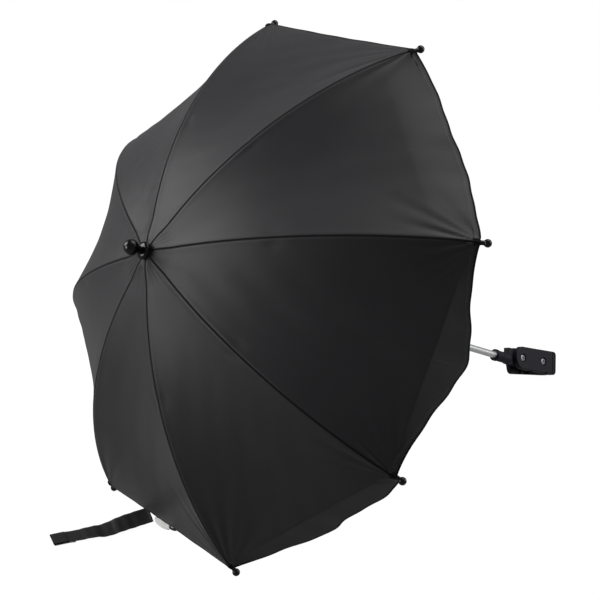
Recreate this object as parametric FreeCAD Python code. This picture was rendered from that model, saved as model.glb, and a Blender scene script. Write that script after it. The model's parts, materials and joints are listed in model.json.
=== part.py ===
import FreeCAD
import Part
import math
import os

# Pram parasol, lying open on a floor on two rib tips and its clamp.
# Everything is built in the shaft's own frame and then laid down.
# Shaft frame: origin on the shaft axis at the height of the rib pivots, +Z towards the finial,
# +X away from the floor, -Y towards the clamp's front jaw.

Vector = FreeCAD.Vector
Rotation = FreeCAD.Rotation
Placement = FreeCAD.Placement

ORIGIN = Vector(0, 0, 0)
ALONG_X = Vector(1, 0, 0)
ALONG_Y = Vector(0, 1, 0)
ALONG_Z = Vector(0, 0, 1)

# Ribs
rib_count = 8
rib_length = 382.0
rib_bend_radius = 441.0
rib_root_slope_deg = 1.8
rib_pivot_radius = 10.0
rib_width = 3.2
rib_height = 3.2
rib_wall = 0.6
rib_channel_start = 8.0
rib_blade_end = 20.0

# Pivots shared by ribs, stretchers, crown and runner
blade_thickness = 1.6
blade_height = 2.6
eye_radius = 2.9
wire_radius = 0.75
wire_clearance = 0.2
wire_tunnel_clearance = 0.1
slot_width = 2.2
slot_room = 0.5

# Rib tips
tip_ball_radius = 4.5
tip_stem_radius = 2.6
tip_stem_length = 11.0
tip_pin_radius = 1.1
tip_pin_clearance = 0.05
tip_wall_over_pin = 2.0

# Stretchers and their joint on the rib
stretcher_arc_place = 160.0
joint_drop = 4.7
lug_thickness = 1.6
lug_radius = 2.4
cheek_thickness = 0.8
cheek_radius = 2.6
fork_gap = 2.2
fork_slot_length = 9.0
stretcher_height = 3.4
rivet_radius = 0.9
rivet_clearance = 0.05
rivet_head_radius = 1.7
rivet_head_height = 0.6
rivet_head_gap = 0.1

# Shaft
shaft_radius = 5.0
shaft_wall = 0.8
shaft_below_pivots = 656.0
shaft_in_socket = 27.0

# Crown
crown_radius = 12.6
crown_core_radius = 6.6
crown_depth = 4.6
crown_plate = 1.6
crown_sleeve_radius = 7.0
crown_sleeve_length = 10.0
crown_bore_clearance = 0.05

# Finial
finial_spigot_length = 12.0
finial_spigot_clearance = 0.1
collar_radius = 10.5
collar_height = 9.0
finial_neck_radius = 4.4
finial_ball_radius = 9.0
finial_ball_above_collar = 16.5

# Runner
runner_sleeve_radius = 7.4
runner_length = 44.0
runner_grip_radius = 10.5
runner_grip_height = 7.0
runner_bore_clearance = 0.2

# Stop pin and spring catch
stop_pin_radius = 1.0
stop_pin_overhang = 2.4
pin_hole_clearance = 0.05
stop_gap = 0.4
catch_leaf_thickness = 1.0
catch_leaf_place = 2.2
catch_leaf_length = 34.0
catch_width = 2.4
catch_tooth_height = 16.0
catch_tooth_reach = 2.8
catch_foot_height = 6.0
catch_slot_clearance = 0.3
catch_gap = 0.4

# Canopy
cloth_thickness = 0.7
cloth_seat = 0.3
cloth_end_gap = 1.0
cloth_edge_gap = 0.7
cloth_root_stations = (7.0, 12.6)
side_hem_drop = 40.0
hem_drop_start_share = 0.76
saddle_depth = 10.0
saddle_outward_power = 1.8
cloth_station_shares = (0.06, 0.1, 0.16, 0.28, 0.4, 0.52, 0.64, 0.76, 0.84, 0.92, 1.0)

# Clamp, in the jaw frame: origin at the tilt pivot, +Z towards the canopy
clamp_rest_tilt_deg = -4.0
clamp_roll_deg = 20.0
tube_radius = 7.0
pad_thickness = 1.5
pad_length = 30.0
pad_clearance = 0.1
pad_edge_gap = 0.5
bolt_pitch = 54.0
jaw_parting_gap = 2.0
jaw_depth = 10.0
knuckle_recess_gap = 5.0
knuckle_recess_depth = 14.0
jaw_end_past_bolt = 34.0
jaw_end_half_height = 18.0
jaw_corner_radius = 6.0
front_jaw_head_radius = 17.0
rear_jaw_head_radius = 15.5
rear_heel_place = (-16.0, 2.5)
rear_heel_radius = 8.0
jaw_edge_round = 2.0
bolt_radius = 2.5
bolt_clearance = 0.08
bolt_head_radius = 5.0
bolt_head_height = 3.2
bolt_socket_radius = 2.0
bolt_socket_depth = 1.8
bolt_pocket_radius = 6.4
bolt_pocket_depth = 4.0
nut_across_flats = 8.0
nut_height = 4.0
nut_pocket_clearance = 0.1
nut_pocket_depth = 5.0
end_rib_width = 1.4
end_rib_depth = 0.8
end_rib_step = 5.0
end_rib_count = 2
edge_notch_radius = 3.0
edge_notch_past_bolt = 8.0

# Socket arm
socket_above_pivot = 57.0
socket_radius = 8.0
socket_start = 25.0
knuckle_offset = 5.0
socket_floor = 3.0
socket_bore_clearance = 0.1
socket_lip_radius = 8.8
socket_lip_height = 3.5
knuckle_radius = 12.0
knuckle_clearance = 0.3
socket_pin_radius = 1.3
socket_pin_below_mouth = 14.0

# Closing strap and care tag, sewn to the hem on the floor side
strap_width = 25.0
strap_thickness = 1.2
strap_reach = 122.0
strap_turn_deg = 17.0
strap_side_place = 38.0
strap_fall_reach = 50.0
strap_tab_length = 20.0
strap_tab_thickness = 0.9
strap_floor_gap = 0.4
tag_width = 32.0
tag_thickness = 0.5
tag_reach = 9.0
tag_side_place = 7.0
tag_floor_gap = 5.5
hem_seat = 0.3

# Search for the floor's angle to the shaft
floor_angle_limits_deg = (10.0, 50.0)
floor_angle_halvings = 50

cut_overrun = 1.0

# Values worked out from the sizes above
rib_step_deg = 360.0 / rib_count
half_gore = math.pi / rib_count
rib_root_slope = math.radians(rib_root_slope_deg)
eye_hole_radius = wire_radius + wire_clearance
slot_reach = eye_radius + slot_room
channel_end = rib_length - tip_stem_length
bend_centre = Vector(
    rib_pivot_radius - rib_bend_radius * math.sin(rib_root_slope),
    0,
    -rib_bend_radius * math.cos(rib_root_slope),
)


def rib_slope(arc):
    """Angle of the rib below the crown's plane, at an arc length from its pivot."""
    return rib_root_slope + arc / rib_bend_radius


def rib_point(arc, outward=0.0):
    """A point beside the rib's middle line, in the rib's own plane."""
    slope = rib_slope(arc)
    reach = rib_bend_radius + outward
    return bend_centre + Vector(reach * math.sin(slope), 0, reach * math.cos(slope))


def rib_direction(arc):
    slope = rib_slope(arc)
    return Vector(math.cos(slope), 0, -math.sin(slope))


rib_pivot = Vector(rib_pivot_radius, 0, 0)
joint_point = rib_point(stretcher_arc_place, -joint_drop)
joint_line = joint_point - rib_pivot
stretcher_length = joint_line.Length
joint_slope_deg = math.degrees(math.atan2(-joint_line.z, joint_line.x))
runner_pivot = Vector(rib_pivot_radius, 0, 2 * joint_point.z)
tip_point = rib_point(channel_end) + rib_direction(channel_end) * tip_stem_length

crown_top = slot_reach + crown_plate
runner_top = runner_pivot.z + slot_reach
runner_bottom = runner_top - runner_length
shaft_bore_radius = shaft_radius - shaft_wall

clamp_roll = Rotation(ALONG_Z, clamp_roll_deg)
tilt_pivot_depth = shaft_below_pivots + socket_above_pivot
tilt_pivot = clamp_roll.multVec(ALONG_X * knuckle_offset) - ALONG_Z * tilt_pivot_depth
jaw_end = bolt_pitch + jaw_end_past_bolt
jaw_back = jaw_parting_gap + jaw_depth
tube_place = -bolt_pitch / 2
groove_radius = tube_radius + pad_thickness


def rib_azimuth_deg(index):
    return rib_step_deg * (index + 0.5)


def turned_to_rib(shape, index):
    turned = shape.copy()
    turned.rotate(ORIGIN, ALONG_Z, rib_azimuth_deg(index))
    return turned


def cylinder_between(start, end, radius):
    line = end - start
    return Part.makeCylinder(radius, line.Length, start, line)


def cross_cylinder(centre, radius, width):
    """A cylinder along Y, centred on a point."""
    start = centre - ALONG_Y * (width / 2)
    return Part.makeCylinder(radius, width, start, ALONG_Y)


def box_between(low, high):
    size = high - low
    return Part.makeBox(size.x, size.y, size.z, low)


def turned_profile(points):
    """A solid of revolution about Z from (radius, height) points."""
    corners = [Vector(radius, 0, height) for radius, height in points]
    face = Part.Face(Part.makePolygon(corners + corners[:1]))
    return face.revolve(ORIGIN, ALONG_Z, 360)


# Ribs


def bent_bar(outline, arc_start, arc_end):
    """A bar of constant section along the rib's bend, from (sideways, outward) points."""
    corners = [rib_point(arc_start, outward) + ALONG_Y * side for side, outward in outline]
    face = Part.Face(Part.makePolygon(corners + corners[:1]))
    sweep_deg = math.degrees((arc_end - arc_start) / rib_bend_radius)
    return face.revolve(bend_centre, ALONG_Y, sweep_deg)


def rib_channel():
    side = rib_width / 2
    top = rib_height / 2
    inner_side = side - rib_wall
    inner_top = top - rib_wall
    outline = (
        (-side, -top),
        (-side, top),
        (side, top),
        (side, -top),
        (inner_side, -top),
        (inner_side, inner_top),
        (-inner_side, inner_top),
        (-inner_side, -top),
    )
    return bent_bar(outline, rib_channel_start, channel_end)


def rib_blade():
    side = blade_thickness / 2
    top = rib_height / 2 - rib_wall / 2
    bottom = -blade_height / 2
    outline = ((-side, bottom), (-side, top), (side, top), (side, bottom))
    blade = bent_bar(outline, 0.0, rib_blade_end)
    return blade.fuse(cross_cylinder(rib_pivot, eye_radius, blade_thickness))


def joint_lug():
    height = joint_drop + rib_height / 2 - rib_wall / 2
    plate = Part.makeBox(
        2 * lug_radius,
        lug_thickness,
        height,
        Vector(-lug_radius, -lug_thickness / 2, 0),
    )
    plate.rotate(ORIGIN, ALONG_Y, math.degrees(rib_slope(stretcher_arc_place)))
    plate.translate(joint_point)
    return plate.fuse(cross_cylinder(joint_point, lug_radius, lug_thickness))


def make_rib():
    tip_pin_start = rib_point(channel_end - tip_stem_length)
    tip_pin_end = tip_point - rib_direction(channel_end) * tip_wall_over_pin
    tip_pin = cylinder_between(tip_pin_start, tip_pin_end, tip_pin_radius)
    rib = rib_channel().multiFuse([rib_blade(), joint_lug(), tip_pin])
    rib = rib.cut(cross_cylinder(rib_pivot, eye_hole_radius, slot_width))
    return rib.cut(cross_cylinder(joint_point, rivet_radius + rivet_clearance, fork_gap))


def make_rib_tip():
    stem_start = tip_point - rib_direction(channel_end) * tip_stem_length
    tip = cylinder_between(stem_start, tip_point, tip_stem_radius)
    tip = tip.fuse(Part.makeSphere(tip_ball_radius, tip_point))
    bore_end = tip_point - rib_direction(channel_end) * (tip_wall_over_pin - tip_pin_clearance)
    return tip.cut(cylinder_between(stem_start, bore_end, tip_pin_radius + tip_pin_clearance))


def make_rivet():
    fork_width = fork_gap + 2 * cheek_thickness
    shank_width = fork_width + 2 * rivet_head_gap
    rivet = cross_cylinder(joint_point, rivet_radius, shank_width)
    for side in (-1, 1):
        head_middle = shank_width / 2 + rivet_head_height / 2
        head_centre = joint_point + ALONG_Y * (side * head_middle)
        rivet = rivet.fuse(cross_cylinder(head_centre, rivet_head_radius, rivet_head_height))
    return rivet


# Stretchers, built along +X from the runner pivot and raised to the joint


def make_stretcher():
    half_width = fork_gap / 2 + cheek_thickness
    half_height = stretcher_height / 2
    far_end = Vector(stretcher_length, 0, 0)
    stretcher = box_between(
        Vector(rib_channel_start, -half_width, -half_height),
        Vector(stretcher_length, half_width, half_height),
    )
    stretcher = stretcher.fuse(cross_cylinder(far_end, cheek_radius, 2 * half_width))
    trough = box_between(
        Vector(rib_channel_start - cut_overrun, -fork_gap / 2, -half_height + cheek_thickness),
        Vector(stretcher_length + cheek_radius + cut_overrun, fork_gap / 2, cheek_radius + cut_overrun),
    )
    fork_slot = box_between(
        Vector(stretcher_length - fork_slot_length, -fork_gap / 2, -cheek_radius - cut_overrun),
        Vector(stretcher_length + cheek_radius + cut_overrun, fork_gap / 2, cheek_radius),
    )
    stretcher = stretcher.cut(trough).cut(fork_slot)
    blade_end = rib_blade_end
    blade = box_between(
        Vector(0, -blade_thickness / 2, -half_height + cheek_thickness / 2),
        Vector(blade_end, blade_thickness / 2, blade_height / 2),
    )
    blade = blade.fuse(cross_cylinder(ORIGIN, eye_radius, blade_thickness))
    stretcher = stretcher.fuse(blade)
    stretcher = stretcher.cut(cross_cylinder(ORIGIN, eye_hole_radius, slot_width))
    rivet_hole_width = 2 * half_width + cut_overrun
    stretcher = stretcher.cut(cross_cylinder(far_end, rivet_radius + rivet_clearance, rivet_hole_width))
    stretcher.rotate(ORIGIN, ALONG_Y, -joint_slope_deg)
    stretcher.translate(runner_pivot)
    return stretcher


# Crown, finial and shaft


def pivot_slots(low, high):
    """Radial slots for eight blades, as one shape, between two heights."""
    slot = box_between(
        Vector(crown_core_radius, -slot_width / 2, low),
        Vector(crown_radius + cut_overrun, slot_width / 2, high),
    )
    return Part.makeCompound([turned_to_rib(slot, index) for index in range(rib_count)])


def wire_ring(height, radius):
    return Part.makeTorus(rib_pivot_radius, radius, Vector(0, 0, height))


def make_crown():
    bore = shaft_radius + crown_bore_clearance
    sleeve_bottom = -crown_depth - crown_sleeve_length
    crown = turned_profile(
        (
            (bore, sleeve_bottom),
            (crown_sleeve_radius, sleeve_bottom),
            (crown_sleeve_radius, -crown_depth),
            (crown_radius, -crown_depth),
            (crown_radius, crown_top - crown_plate / 2),
            (crown_radius - crown_plate / 2, crown_top),
            (bore, crown_top),
        )
    )
    crown = crown.cut(pivot_slots(-crown_depth - cut_overrun, slot_reach))
    return crown.cut(wire_ring(0, wire_radius + wire_tunnel_clearance))


def make_finial():
    spigot = shaft_bore_radius - finial_spigot_clearance
    collar_bottom = crown_top + cloth_seat + cloth_thickness + cloth_seat
    collar_middle = collar_bottom + collar_height / 2
    ball_middle = collar_middle + finial_ball_above_collar
    collar = Part.makeSphere(collar_radius)
    squash = FreeCAD.Matrix()
    squash.scale(Vector(1, 1, collar_height / (2 * collar_radius)))
    collar = collar.transformGeometry(squash)
    collar.translate(Vector(0, 0, collar_middle))
    stem = Part.makeCylinder(
        spigot,
        collar_middle - crown_top + finial_spigot_length,
        Vector(0, 0, crown_top - finial_spigot_length),
    )
    neck = Part.makeCylinder(
        finial_neck_radius,
        finial_ball_above_collar,
        Vector(0, 0, collar_middle),
    )
    ball = Part.makeSphere(finial_ball_radius, Vector(0, 0, ball_middle))
    return collar.multiFuse([stem, neck, ball])


catch_top = runner_bottom - catch_gap
stop_pin_height = runner_top + stop_gap + stop_pin_radius
shaft_end = -shaft_below_pivots - shaft_in_socket


def socket_pin_bar(clearance):
    """The pin that holds the shaft in its socket, or the hole for it."""
    centre = Vector(0, 0, -shaft_below_pivots - socket_pin_below_mouth)
    bar = cross_cylinder(centre, socket_pin_radius + clearance, 2 * (socket_radius + clearance))
    bar.rotate(ORIGIN, ALONG_Z, clamp_roll_deg)
    return bar


def make_shaft_tube():
    length = crown_top - shaft_end
    tube = Part.makeCylinder(shaft_radius, length, Vector(0, 0, shaft_end))
    tube = tube.cut(Part.makeCylinder(shaft_bore_radius, length, Vector(0, 0, shaft_end)))
    slot_half = catch_width / 2 + catch_slot_clearance
    catch_slot = box_between(
        Vector(0, -slot_half, catch_top - catch_tooth_height - cut_overrun),
        Vector(shaft_radius + cut_overrun, slot_half, catch_top + cut_overrun),
    )
    stop_place = Vector(0, 0, stop_pin_height)
    stop_hole = cross_cylinder(stop_place, stop_pin_radius + pin_hole_clearance, 3 * shaft_radius)
    return tube.cut(catch_slot).cut(stop_hole).cut(socket_pin_bar(pin_hole_clearance))


def make_stop_pin():
    stop_place = Vector(0, 0, stop_pin_height)
    return cross_cylinder(stop_place, stop_pin_radius, 2 * (shaft_radius + stop_pin_overhang))


def make_catch_spring():
    inner = catch_leaf_place
    outer = catch_leaf_place + catch_leaf_thickness
    bottom = catch_top - catch_leaf_length
    tooth_bottom = catch_top - catch_tooth_height
    foot_outer = shaft_bore_radius - cloth_seat
    outline = (
        (inner, bottom),
        (foot_outer, bottom),
        (foot_outer, bottom + catch_foot_height),
        (outer, bottom + catch_foot_height + catch_leaf_thickness),
        (outer, tooth_bottom),
        (shaft_radius + catch_tooth_reach, catch_top),
        (inner, catch_top),
    )
    corners = [Vector(x, -catch_width / 2, z) for x, z in outline]
    face = Part.Face(Part.makePolygon(corners + corners[:1]))
    return face.extrude(ALONG_Y * catch_width)


# Runner


def make_runner():
    bore = shaft_radius + runner_bore_clearance
    flange_bottom = runner_pivot.z - crown_depth
    grip_top = runner_bottom + runner_grip_height
    grip_round = (runner_grip_radius - runner_sleeve_radius) / 2
    runner = turned_profile(
        (
            (bore, runner_bottom),
            (runner_grip_radius - grip_round, runner_bottom),
            (runner_grip_radius, runner_bottom + grip_round),
            (runner_grip_radius, grip_top - grip_round),
            (runner_sleeve_radius, grip_top),
            (runner_sleeve_radius, flange_bottom - grip_round),
            (crown_radius, flange_bottom),
            (crown_radius, runner_top),
            (bore, runner_top),
        )
    )
    runner = runner.cut(pivot_slots(runner_pivot.z - slot_reach, runner_top + cut_overrun))
    return runner.cut(wire_ring(runner_pivot.z, wire_radius + wire_tunnel_clearance))


# Canopy: each rib carries the two half gores that are sewn together along it


def gore_drop(azimuth_deg):
    """Slack of a gore's hem: none on the floor and on top, most at the sides."""
    return side_hem_drop * abs(math.sin(math.radians(azimuth_deg)))


def hem_slack(share):
    """How much of the hem's drop the cloth has taken up, at a share of its length."""
    return (max(0.0, share - hem_drop_start_share) / (1 - hem_drop_start_share)) ** 2


def saddle(share):
    """How far a gore's middle is drawn in from the straight line between its ribs, along its length."""
    return saddle_depth * math.sin(math.pi * share ** saddle_outward_power)


def cloth_line(drop):
    """Points and directions of the cloth's inner face along a rib, clear of the rib's corners."""
    cloth_end = channel_end - cloth_end_gap
    over_crown = crown_top + cloth_seat
    line = [(0.0, Vector(radius, 0, over_crown), ALONG_Z) for radius in cloth_root_stations]
    for share in cloth_station_shares:
        arc = cloth_end * share
        slope = rib_slope(arc)
        outward = Vector(math.sin(slope), 0, math.cos(slope))
        gore_reach = rib_point(arc).x * math.sin(half_gore) * math.cos(half_gore)
        sag = drop * hem_slack(share) + saddle(share)
        fall_share = math.tan(half_gore) * math.sin(slope) + sag / gore_reach
        clear_of_corners = rib_width / 2 * fall_share
        line.append((share, rib_point(arc, rib_height / 2 + cloth_seat + clear_of_corners), outward))
    return line


def half_gore_solid(line, side, drop):
    """One half gore beside a rib at azimuth 0, lofted through thin four-cornered sections."""
    towards_gore = Vector(-math.sin(half_gore), side * math.cos(half_gore), 0)
    sections = []
    for share, point, outward in line:
        reach = point.x * math.sin(half_gore) - cloth_edge_gap / 2
        middle = point + towards_gore * reach - ALONG_Z * (drop * hem_slack(share))
        gore_outward = Rotation(ALONG_Z, math.degrees(side * half_gore)).multVec(outward)
        middle = middle - gore_outward * saddle(share)
        skin = outward * cloth_thickness
        sections.append(Part.makePolygon([point, middle, middle + skin, point + skin, point]))
    return Part.makeLoft(sections, True, False)


def make_canopy_panel(index):
    azimuth = rib_azimuth_deg(index)
    drops = {side: gore_drop(azimuth + side * rib_step_deg / 2) for side in (-1, 1)}
    line = cloth_line(max(drops.values()))
    halves = [half_gore_solid(line, side, drop) for side, drop in drops.items()]
    return turned_to_rib(Part.makeCompound(halves), index)


# Clamp


def round_outline(circles):
    """The tight outline round circles given in turning order, as straight runs and arcs."""
    normals = []
    count = len(circles)
    for index in range(count):
        centre, radius = circles[index]
        next_centre, next_radius = circles[(index + 1) % count]
        line = next_centre - centre
        heading = math.atan2(line.z, line.x)
        normals.append(heading - math.acos((radius - next_radius) / line.Length))
    edges = []
    for index in range(count):
        centre, radius = circles[index]
        next_centre, next_radius = circles[(index + 1) % count]
        arriving = normals[index - 1]
        leaving = normals[index]
        turn = (leaving - arriving) % (2 * math.pi)
        spots = [arriving, arriving + turn / 2, leaving]
        on_arc = [centre + Vector(math.cos(a), 0, math.sin(a)) * radius for a in spots]
        edges.append(Part.Arc(*on_arc).toShape())
        run_end = next_centre + Vector(math.cos(leaving), 0, math.sin(leaving)) * next_radius
        edges.append(Part.makeLine(on_arc[2], run_end))
    return Part.Face(Part.Wire(edges))


def jaw_corner(side):
    return Vector(side * (jaw_end_half_height - jaw_corner_radius), 0, jaw_corner_radius - jaw_end)


def jaw_block(head_circles, outer_side):
    """A jaw's body: from the parting face out to its rounded outer face, on one side of Y."""
    corners = [(jaw_corner(-1), jaw_corner_radius), (jaw_corner(1), jaw_corner_radius)]
    face = round_outline(head_circles + corners)
    face.translate(ALONG_Y * (outer_side * jaw_parting_gap))
    block = face.extrude(ALONG_Y * (outer_side * jaw_depth))
    outer_edges = [edge for edge in block.Edges if abs(abs(edge.CenterOfMass.y) - jaw_back) < pad_clearance]
    block = block.makeFillet(jaw_edge_round, outer_edges)
    groove = Part.makeCylinder(
        groove_radius,
        4 * jaw_end_half_height,
        Vector(-2 * jaw_end_half_height, 0, tube_place),
        ALONG_X,
    )
    recess = box_between(
        Vector(-2 * jaw_end_half_height, -knuckle_recess_gap, -knuckle_recess_depth),
        Vector(2 * jaw_end_half_height, knuckle_recess_gap, 2 * jaw_end_half_height),
    )
    block = block.cut(groove).cut(recess)
    for place in (0.0, -bolt_pitch):
        centre = Vector(0, 0, place)
        block = block.cut(cross_cylinder(centre, bolt_radius + bolt_clearance, 4 * jaw_back))
    return block


def make_front_jaw():
    jaw = jaw_block([(ORIGIN, front_jaw_head_radius)], -1)
    for place in (0.0, -bolt_pitch):
        pocket_floor = Vector(0, bolt_pocket_depth - jaw_back, place)
        pocket_length = bolt_pocket_depth + cut_overrun
        pocket = Part.makeCylinder(bolt_pocket_radius, pocket_length, pocket_floor, -ALONG_Y)
        jaw = jaw.cut(pocket)
    for step in range(1, end_rib_count + 1):
        place = step * end_rib_step - jaw_end
        groove = box_between(
            Vector(-2 * jaw_end_half_height, -jaw_back - cut_overrun, place),
            Vector(2 * jaw_end_half_height, end_rib_depth - jaw_back, place + end_rib_width),
        )
        jaw = jaw.cut(groove)
    notch_centre = Vector(-jaw_end_half_height, 0, -bolt_pitch - edge_notch_past_bolt)
    return jaw.cut(cross_cylinder(notch_centre, edge_notch_radius, 4 * jaw_back))


def hexagon_bar(across_flats, start, length, place):
    corner_radius = across_flats / math.sqrt(3)
    corners = []
    for index in range(6):
        angle = index * math.pi / 3
        corner = Vector(math.cos(angle), 0, math.sin(angle)) * corner_radius
        corners.append(corner + Vector(0, start, place))
    face = Part.Face(Part.makePolygon(corners + corners[:1]))
    return face.extrude(ALONG_Y * length)


nut_start = jaw_back - nut_pocket_depth


def make_rear_jaw():
    heel = Vector(rear_heel_place[0], 0, rear_heel_place[1])
    jaw = jaw_block([(ORIGIN, rear_jaw_head_radius), (heel, rear_heel_radius)], 1)
    for place in (0.0, -bolt_pitch):
        across = nut_across_flats + 2 * nut_pocket_clearance
        jaw = jaw.cut(hexagon_bar(across, nut_start, nut_pocket_depth + cut_overrun, place))
    return jaw


def make_jaw_nuts():
    nuts = []
    for place in (0.0, -bolt_pitch):
        nut = hexagon_bar(nut_across_flats, nut_start, nut_height, place)
        bore = cross_cylinder(Vector(0, 0, place), bolt_radius + bolt_clearance, 4 * jaw_back)
        nuts.append(nut.cut(bore))
    return Part.makeCompound(nuts)


def make_bolt(place):
    seat = bolt_pocket_depth - jaw_back
    tip = jaw_back
    shank = cylinder_between(Vector(0, seat, place), Vector(0, tip, place), bolt_radius)
    head = Part.makeCylinder(bolt_head_radius, bolt_head_height, Vector(0, seat, place), -ALONG_Y)
    rim = [edge for edge in head.Edges if abs(edge.CenterOfMass.y - seat + bolt_head_height) < pad_clearance]
    head = head.makeFillet(bolt_head_height / 3, rim)
    socket_face = Vector(0, seat - bolt_head_height + bolt_socket_depth, place)
    key = Part.makeCylinder(bolt_socket_radius, bolt_socket_depth + cut_overrun, socket_face, -ALONG_Y)
    return shank.fuse(head.cut(key))


def make_pad(outer_side):
    start = Vector(-pad_length / 2, 0, tube_place)
    sleeve = Part.makeCylinder(groove_radius - pad_clearance, pad_length, start, ALONG_X)
    sleeve = sleeve.cut(Part.makeCylinder(tube_radius, pad_length, start, ALONG_X))
    near = outer_side * (jaw_parting_gap + pad_edge_gap)
    far = outer_side * jaw_back
    keep = box_between(
        Vector(-pad_length, min(near, far), tube_place - 2 * tube_radius),
        Vector(pad_length, max(near, far), tube_place + 2 * tube_radius),
    )
    return sleeve.common(keep)


def placed_arm(shape):
    """From the socket arm's frame, with the tilt pivot at its origin, to the shaft frame."""
    placed = shape.copy()
    placed.rotate(ORIGIN, ALONG_Z, clamp_roll_deg)
    placed.translate(tilt_pivot)
    return placed


def placed_clamp(shape):
    """From the jaw frame to the shaft frame."""
    tilted = shape.copy()
    tilted.rotate(ORIGIN, ALONG_Y, clamp_rest_tilt_deg)
    return placed_arm(tilted)


# Socket arm and its pin, on the shaft


def make_socket_arm():
    half_knuckle = knuckle_recess_gap - knuckle_clearance
    shaft_axis = Vector(-knuckle_offset, 0, 0)
    knuckle = cross_cylinder(ORIGIN, knuckle_radius, 2 * half_knuckle)
    neck = box_between(
        shaft_axis + Vector(-socket_radius, -half_knuckle, 0),
        shaft_axis + Vector(2 * socket_radius, half_knuckle, socket_start + socket_floor),
    )
    tube_start = shaft_axis + ALONG_Z * socket_start
    tube = Part.makeCylinder(socket_radius, socket_above_pivot - socket_start, tube_start)
    lip_start = shaft_axis + ALONG_Z * (socket_above_pivot - socket_lip_height)
    lip = Part.makeCylinder(socket_lip_radius, socket_lip_height, lip_start)
    arm = tube.multiFuse([knuckle, neck, lip])
    bore_start = socket_above_pivot - shaft_in_socket - socket_bore_clearance
    bore = Part.makeCylinder(
        shaft_radius + socket_bore_clearance,
        shaft_in_socket + cut_overrun,
        shaft_axis + ALONG_Z * bore_start,
    )
    arm = arm.cut(bore).cut(cross_cylinder(ORIGIN, bolt_radius + bolt_clearance, 4 * half_knuckle))
    return placed_arm(arm).cut(socket_pin_bar(pin_hole_clearance))


def make_socket_pin():
    return socket_pin_bar(0.0)


# Laying the parasol down: the floor touches two tip balls and the lower corner of the jaws

floor_tip = Vector(-tip_point.x * math.cos(half_gore), 0, tip_point.z)
to_jaw_frame = (clamp_roll * Rotation(ALONG_Y, clamp_rest_tilt_deg)).inverted()


def up_at(angle):
    return Vector(math.cos(angle), 0, math.sin(angle))


def clamp_low(angle):
    """Height of the lower jaw corner's lowest point, for a floor whose upward line has this angle."""
    up = up_at(angle)
    jaw_up = to_jaw_frame.multVec(up)
    outer = jaw_back - jaw_edge_round
    corner = jaw_corner(-1) - ALONG_Y * math.copysign(outer, jaw_up.y)
    flat_share = math.hypot(jaw_up.x, jaw_up.z)
    round_reach = (jaw_corner_radius - jaw_edge_round) * flat_share + jaw_edge_round
    return up.dot(tilt_pivot) + jaw_up.dot(corner) - round_reach


def settled_angle():
    """The floor's angle at which the tip balls and the clamp are equally low, found by halving."""
    low, high = [math.radians(limit) for limit in floor_angle_limits_deg]
    for _ in range(floor_angle_halvings):
        middle = (low + high) / 2
        tip_low = up_at(middle).dot(floor_tip) - tip_ball_radius
        if clamp_low(middle) > tip_low:
            low = middle
        else:
            high = middle
    return (low + high) / 2


up_angle = settled_angle()
floor_up = up_at(up_angle)
lean = Rotation(ALONG_Y, math.degrees(up_angle) - 90)
laid_down = Placement(Vector(0, 0, tip_ball_radius - floor_up.dot(floor_tip)), lean)


def laid(shape):
    return shape.transformed(laid_down.toMatrix(), True)


# Strap and tag, built on the floor under the lowest hem


def lowest_hem():
    """Middle of the hem that hangs over the floor, on the cloth's inner face."""
    corner = cloth_line(gore_drop(180 - rib_step_deg))[-1][1]
    return laid_down.multVec(Vector(-corner.x * math.cos(half_gore), 0, corner.z))


def hem_ribbon(reach, fall_reach, thickness, width, floor_gap):
    """A ribbon towards -X: from the hem down to a gap over the floor, then level, as one bent strip."""
    hem = lowest_hem()
    top = hem.z - cloth_thickness / 2 - hem_seat
    lower = [
        Vector(0, 0, top - thickness),
        Vector(-fall_reach, 0, floor_gap),
        Vector(-reach, 0, floor_gap),
    ]
    upper = [
        Vector(-reach, 0, floor_gap + thickness),
        Vector(-fall_reach, 0, floor_gap + thickness),
        Vector(0, 0, top),
    ]
    face = Part.Face(Part.makePolygon(lower + upper + lower[:1]))
    ribbon = face.extrude(ALONG_Y * width)
    ribbon.translate(-ALONG_Y * (width / 2))
    return ribbon


def make_closing_strap():
    strap = hem_ribbon(strap_reach, strap_fall_reach, strap_thickness, strap_width, strap_floor_gap)
    tab_floor = strap_floor_gap + strap_thickness
    tab = box_between(
        Vector(-strap_reach, -strap_width / 2, tab_floor),
        Vector(strap_tab_length - strap_reach, strap_width / 2, tab_floor + strap_tab_thickness),
    )
    strap = strap.fuse(tab)
    strap.rotate(ORIGIN, ALONG_Z, -strap_turn_deg)
    strap.translate(Vector(lowest_hem().x, strap_side_place, 0))
    return strap


def make_care_tag():
    tag = hem_ribbon(tag_reach, tag_reach - tag_thickness, tag_thickness, tag_width, tag_floor_gap)
    tag.translate(Vector(lowest_hem().x, tag_side_place, 0))
    return tag


# All nodes on the floor, before they are centred


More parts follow.
